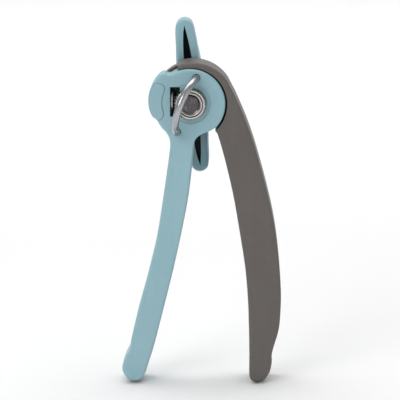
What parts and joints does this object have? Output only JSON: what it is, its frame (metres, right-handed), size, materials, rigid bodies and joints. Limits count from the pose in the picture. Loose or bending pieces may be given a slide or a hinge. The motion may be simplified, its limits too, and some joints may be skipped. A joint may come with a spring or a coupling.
{
  "type": "can opener",
  "caption": "Hand-held can opener with jointed curved handles, a toothed feed wheel and magnet, an edge-on cutting wheel, a wire bow and a long turning key behind the head.",
  "frame": {"origin": "on the drive axle's line, where it meets the flat back of the turning key", "axes": "+Y along the drive axle from the feed wheel to the key, +Z from the handle tips to the head, +X from the drum lever to the hood lever"},
  "size_m": [0.092, 0.0663, 0.209],
  "materials": {
    "teal_plastic": "satin moulded",
    "taupe_plastic": "satin moulded",
    "bright_steel": "turned",
    "plate_steel": "mill",
    "bright_wire": "plated wire",
    "dark_magnet": "sintered"
  },
  "bodies": {
    "drum_lever": {"drum_lever_shell": "teal_plastic", "drum_lever_cover": "teal_plastic", "drum_lever_core": "plate_steel", "drum_lever_screw_1": "bright_steel", "drum_lever_screw_2": "bright_steel", "cutter_cap": "teal_plastic", "cutter_pin": "bright_steel", "wire_bow": "bright_wire"},
    "cutter": {"cutting_wheel": "bright_steel"},
    "hood_lever": {"hood_lever_shell": "taupe_plastic", "hood_lever_cover": "taupe_plastic", "hood_lever_core": "plate_steel", "hood_lever_screw_1": "bright_steel", "hood_lever_screw_2": "bright_steel", "hood_lever_screw_3": "bright_steel", "hood_lever_screw_4": "bright_steel", "pivot_bush": "plate_steel"},
    "drive": {"drive_axle": "bright_steel", "feed_wheel": "bright_steel", "magnet_cup": "bright_steel", "magnet": "dark_magnet", "thrust_washer": "bright_steel", "spring_washer": "bright_steel", "turning_key": "teal_plastic"}
  },
  "joints": [
    {"name": "handle_pivot", "type": "hinge", "parent": "drum_lever", "child": "hood_lever", "pos_m": [-0.0005, -0.036, 0.0015], "axis": [0, 1, 0], "range_deg": [-14, 20]},
    {"name": "key_spin", "type": "hinge", "parent": "hood_lever", "child": "drive", "pos_m": [0, -0.036, 0], "axis": [0, 1, 0], "continuous": true},
    {"name": "cutter_spin", "type": "hinge", "parent": "drum_lever", "child": "cutter", "pos_m": [-0.0106, -0.0442, 0.0016], "axis": [1, 0, 0], "continuous": true}
  ]
}
